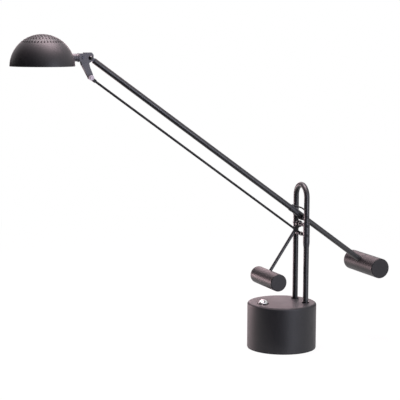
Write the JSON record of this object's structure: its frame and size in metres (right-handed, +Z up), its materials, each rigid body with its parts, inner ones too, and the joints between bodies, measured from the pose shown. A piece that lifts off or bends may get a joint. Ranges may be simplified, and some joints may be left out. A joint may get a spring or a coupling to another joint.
{
  "type": "counterweight balance desk lamp",
  "caption": "Desk lamp with a round weighted base, hairpin stand, long balanced arm with a tail weight, levelling tie rod, small trim weight and domed shade.",
  "frame": {"origin": "centre of the underside of the base pad, on the surface the lamp stands on", "axes": "+Z up, the shade lies toward -X and the tail weight toward +X, and the arm linkage turns about Y"},
  "size_m": [0.6645, 0.1262, 0.5474],
  "materials": {
    "powder_coat": "matte fine-textured black powder coat",
    "tube_coat": "satin black powder coat on steel tube",
    "shade_coat": "matte black powder coat on spun metal",
    "weight_coat": "matte black powder coat on solid steel",
    "rod_coat": "satin black on thin rod",
    "link_coat": "satin black powder coat",
    "dark_casting": "black painted",
    "bare_steel": "zinc plated",
    "dark_steel": "blackened steel",
    "cast_iron": "rough cast",
    "pad_foam": "soft foam pad",
    "driver_case": "moulded",
    "black_plastic": "moulded, satin",
    "white_plastic": "moulded",
    "circuit_board": "solder mask",
    "dark_ring": "dark bronze ring",
    "chrome_button": "polished dome",
    "sleeve_rubber": "soft satin sleeve",
    "black_acorn": "gloss black cap",
    "nylon": "natural translucent nylon",
    "brass_bush": "turned",
    "aluminium_plate": "mill finish",
    "led_board_white": "white solder mask",
    "frosted_lens": "frosted",
    "lead_insulation": "thin insulated wire"
  },
  "bodies": {
    "base": {"base_shell": "powder_coat", "base_plate": "bare_steel", "ballast": "cast_iron", "base_posts": "bare_steel", "plate_screws": "bare_steel", "foot_pad": "pad_foam", "led_driver": "driver_case", "cord_gland": "black_plastic", "gland_nut": "black_plastic", "button_bezel": "dark_ring", "switch_body": "black_plastic", "switch_board": "circuit_board", "hairpin_tube": "tube_coat", "foot_collars": "black_plastic", "foot_nuts": "bare_steel", "leg_sleeve": "sleeve_rubber", "arm_axle": "dark_steel", "lever_axle": "dark_steel", "rod_axle": "dark_steel", "axle_nuts": "dark_steel", "arm_axle_spacers": "dark_steel", "lever_axle_spacers": "nylon", "rod_axle_spacers": "nylon"},
    "button": {"push_button": "chrome_button"},
    "arm": {"arm_tube": "tube_coat", "pivot_sleeve": "sleeve_rubber", "arm_bush": "brass_bush", "arm_head_fitting": "dark_steel", "main_counterweight": "weight_coat", "main_weight_screw": "dark_steel", "upper_lead": "lead_insulation", "lower_lead": "lead_insulation"},
    "lever": {"lever_hub": "dark_casting", "lever_rod": "tube_coat", "small_counterweight": "weight_coat", "small_weight_screw": "dark_steel"},
    "tie_rod": {"tie_rod": "rod_coat"},
    "head_link": {"head_link": "link_coat", "head_pin": "black_acorn", "head_pin_nut": "dark_steel", "rod_head_pin": "dark_steel", "nylon_bush": "nylon", "rod_head_nut": "dark_steel"},
    "knuckle": {"knuckle": "link_coat", "tilt_screw": "dark_steel", "tilt_nut": "dark_steel", "neck_nut": "bare_steel"},
    "shade": {"neck_collar": "link_coat", "shade": "shade_coat", "heat_sink": "aluminium_plate", "led_board": "led_board_white", "lens_ring": "white_plastic", "lens": "frosted_lens"}
  },
  "joints": [
    {"name": "button_press", "type": "slide", "parent": "base", "child": "button", "axis": [0, 0, -1], "range_m": [0, 0.0015], "stiffness_N_per_m": 800, "springref_m": -0.002},
    {"name": "arm_swing", "type": "hinge", "parent": "base", "child": "arm", "pos_m": [0.036, 0, 0.232], "axis": [0, 1, 0], "range_deg": [-50, 19], "deforming": ["upper_lead", "lower_lead"]},
    {"name": "lever_swing", "type": "hinge", "parent": "base", "child": "lever", "pos_m": [0.036, 0, 0.2165], "axis": [0, 1, 0], "range_deg": [-10, 15]},
    {"name": "rod_swing", "type": "hinge", "parent": "base", "child": "tie_rod", "pos_m": [0.036, 0, 0.2], "axis": [0, 1, 0], "range_deg": [-50, 19]},
    {"name": "head_level", "type": "hinge", "parent": "arm", "child": "head_link", "pos_m": [-0.34844, 0, 0.50927], "axis": [0, 1, 0], "range_deg": [-19, 50]},
    {"name": "shade_tilt", "type": "hinge", "parent": "head_link", "child": "knuckle", "pos_m": [-0.36174, 0, 0.50977], "axis": [0, 1, 0], "range_deg": [-18, 45]},
    {"name": "shade_swivel", "type": "hinge", "parent": "knuckle", "child": "shade", "pos_m": [-0.37174, 0, 0.50977], "axis": [1, 0, 0], "range_deg": [-60, 60]}
  ],
  "couplings": [
    {"joint": "rod_swing", "follows": "arm_swing", "ratio": 1},
    {"joint": "head_level", "follows": "arm_swing", "ratio": -1}
  ]
}
